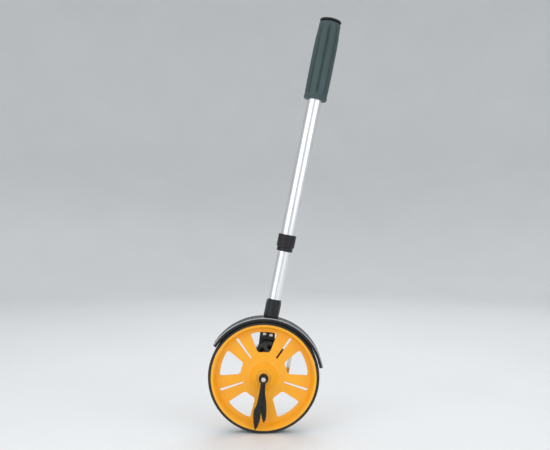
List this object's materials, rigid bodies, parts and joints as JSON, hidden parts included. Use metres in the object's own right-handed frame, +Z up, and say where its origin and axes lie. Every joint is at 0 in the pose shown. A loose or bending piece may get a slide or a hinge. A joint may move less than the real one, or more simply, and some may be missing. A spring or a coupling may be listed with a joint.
{
  "type": "measuring wheel",
  "caption": "Surveyor's measuring wheel: yellow spoked wheel with black tyre, side fork with mudguard and distance counter, swing-down stand legs and a telescopic handle with a fluted grip.",
  "frame": {"origin": "the point where the tyre touches the ground, in the wheel's middle plane", "axes": "+Z up, +Y along the axle from the stand-leg side to the fork and counter side, +X the way the handle leans"},
  "size_m": [0.1915, 0.1009, 0.5941],
  "materials": {
    "yellow_plastic": "moulded ABS, semi-gloss",
    "tyre_rubber": "matt black rubber tread",
    "grip_rubber": "soft dark grey-green rubber, fluted",
    "black_plastic": "moulded black nylon, fine grain",
    "aluminium_tube": "satin anodised, drawn tube",
    "bright_steel": "zinc-plated steel",
    "black_steel": "black powder-coated steel",
    "nickel_plate": "satin nickel-plated steel",
    "bearing_bronze": "sintered bronze",
    "white_acetal": "natural acetal",
    "black_acetal": "black acetal",
    "drum_white": "white moulded drum with black digits",
    "drum_red": "red moulded drum with white digits",
    "window_clear": "clear polycarbonate"
  },
  "bodies": {
    "frame": {"wheel_fork": "black_plastic", "mudguard": "black_plastic", "axle_bolt": "bright_steel", "axle_cap_nut": "bright_steel", "front_axle_washer": "black_steel", "stand_spacer": "black_plastic", "rear_axle_spacer": "bright_steel", "mudguard_screw_left": "bright_steel", "mudguard_screw_right": "bright_steel", "lower_tube": "aluminium_tube", "lower_tube_rivet": "bright_steel", "tube_guide_bush": "black_plastic", "counter_case": "black_plastic", "counter_cover": "black_plastic", "counter_window": "window_clear", "cover_screw_1": "bright_steel", "cover_screw_2": "bright_steel", "cover_screw_3": "bright_steel", "cover_screw_4": "bright_steel", "pinion_shaft": "bright_steel", "reset_pivot_pin": "bright_steel", "reset_spring": "bright_steel", "counter_mount_screw_1": "bright_steel", "counter_mount_screw_2": "bright_steel"},
    "wheel": {"spoked_wheel": "yellow_plastic", "tyre": "tyre_rubber", "front_bush": "bearing_bronze", "rear_bush": "bearing_bronze", "drive_gear": "black_acetal"},
    "counter_drive": {"counter_gear": "black_acetal", "counter_shaft": "bright_steel", "drum_tenths": "drum_red"},
    "drum_units": {"drum_units": "drum_white"},
    "drum_tens": {"drum_tens": "drum_white"},
    "drum_hundreds": {"drum_hundreds": "drum_white"},
    "drum_thousands": {"drum_thousands": "drum_white"},
    "pinion_thousands": {"transfer_pinion_1": "white_acetal"},
    "pinion_hundreds": {"transfer_pinion_2": "white_acetal"},
    "pinion_tens": {"transfer_pinion_3": "white_acetal"},
    "pinion_units": {"transfer_pinion_4": "white_acetal"},
    "upper_handle": {"upper_tube": "aluminium_tube", "grip": "grip_rubber", "grip_end_cap": "black_plastic", "thread_bush": "black_plastic", "collet": "black_plastic"},
    "lock_nut": {"lock_nut": "black_plastic"},
    "stand_leg_long": {"stand_leg_long": "black_steel"},
    "stand_leg_short": {"stand_leg_short": "black_steel"},
    "reset_lever": {"reset_lever": "nickel_plate"}
  },
  "joints": [
    {"name": "wheel_spin", "type": "hinge", "parent": "frame", "child": "wheel", "pos_m": [0, 0, 0.07958], "axis": [0, 1, 0], "continuous": true},
    {"name": "counter_drive_spin", "type": "hinge", "parent": "frame", "child": "counter_drive", "pos_m": [0.00593, 0.04, 0.10899], "axis": [0, 1, 0], "continuous": true},
    {"name": "drum_units_spin", "type": "hinge", "parent": "frame", "child": "drum_units", "pos_m": [0.00593, 0.0558, 0.10899], "axis": [0, 1, 0], "continuous": true},
    {"name": "pinion_units_spin", "type": "hinge", "parent": "frame", "child": "pinion_units", "pos_m": [0.01691, 0.0595, 0.10677], "axis": [0, 1, 0], "continuous": true},
    {"name": "drum_tens_spin", "type": "hinge", "parent": "frame", "child": "drum_tens", "pos_m": [0.00593, 0.0468, 0.10899], "axis": [0, 1, 0], "continuous": true},
    {"name": "pinion_tens_spin", "type": "hinge", "parent": "frame", "child": "pinion_tens", "pos_m": [0.01691, 0.0505, 0.10677], "axis": [0, 1, 0], "continuous": true},
    {"name": "drum_hundreds_spin", "type": "hinge", "parent": "frame", "child": "drum_hundreds", "pos_m": [0.00593, 0.0378, 0.10899], "axis": [0, 1, 0], "continuous": true},
    {"name": "pinion_hundreds_spin", "type": "hinge", "parent": "frame", "child": "pinion_hundreds", "pos_m": [0.01691, 0.0415, 0.10677], "axis": [0, 1, 0], "continuous": true},
    {"name": "drum_thousands_spin", "type": "hinge", "parent": "frame", "child": "drum_thousands", "pos_m": [0.00593, 0.0288, 0.10899], "axis": [0, 1, 0], "continuous": true},
    {"name": "pinion_thousands_spin", "type": "hinge", "parent": "frame", "child": "pinion_thousands", "pos_m": [0.01691, 0.0325, 0.10677], "axis": [0, 1, 0], "continuous": true},
    {"name": "handle_telescope", "type": "slide", "parent": "frame", "child": "upper_handle", "axis": [0.1977, 0, 0.9803], "range_m": [-0.056, 0.185]},
    {"name": "lock_nut_turn", "type": "hinge", "parent": "upper_handle", "child": "lock_nut", "pos_m": [0.03257, 0, 0.27398], "axis": [0.1977, 0, 0.9803], "range_deg": [0, 90]},
    {"name": "stand_leg_long_swing", "type": "hinge", "parent": "frame", "child": "stand_leg_long", "pos_m": [0, -0.0175, 0.07958], "axis": [0, 1, 0], "range_deg": [-60, 60]},
    {"name": "stand_leg_short_swing", "type": "hinge", "parent": "frame", "child": "stand_leg_short", "pos_m": [0, -0.0145, 0.07958], "axis": [0, 1, 0], "range_deg": [-60, 60]},
    {"name": "reset_lever_press", "type": "hinge", "parent": "frame", "child": "reset_lever", "pos_m": [0.02878, 0.0242, 0.10846], "axis": [0, -1, 0], "range_deg": [0, 25], "stiffness_Nm_per_rad": 0.05, "springref_deg": -11.46}
  ],
  "couplings": [
    {"joint": "counter_drive_spin", "follows": "wheel_spin", "ratio": -0.5},
    {"joint": "drum_units_spin", "follows": "wheel_spin", "ratio": -0.05},
    {"joint": "pinion_units_spin", "follows": "wheel_spin", "ratio": 0.125},
    {"joint": "drum_tens_spin", "follows": "wheel_spin", "ratio": -0.005},
    {"joint": "pinion_tens_spin", "follows": "wheel_spin", "ratio": 0.0125},
    {"joint": "drum_hundreds_spin", "follows": "wheel_spin", "ratio": -0.0005},
    {"joint": "pinion_hundreds_spin", "follows": "wheel_spin", "ratio": 0.00125},
    {"joint": "drum_thousands_spin", "follows": "wheel_spin", "ratio": -0.00005},
    {"joint": "pinion_thousands_spin", "follows": "wheel_spin", "ratio": 0.000125}
  ]
}
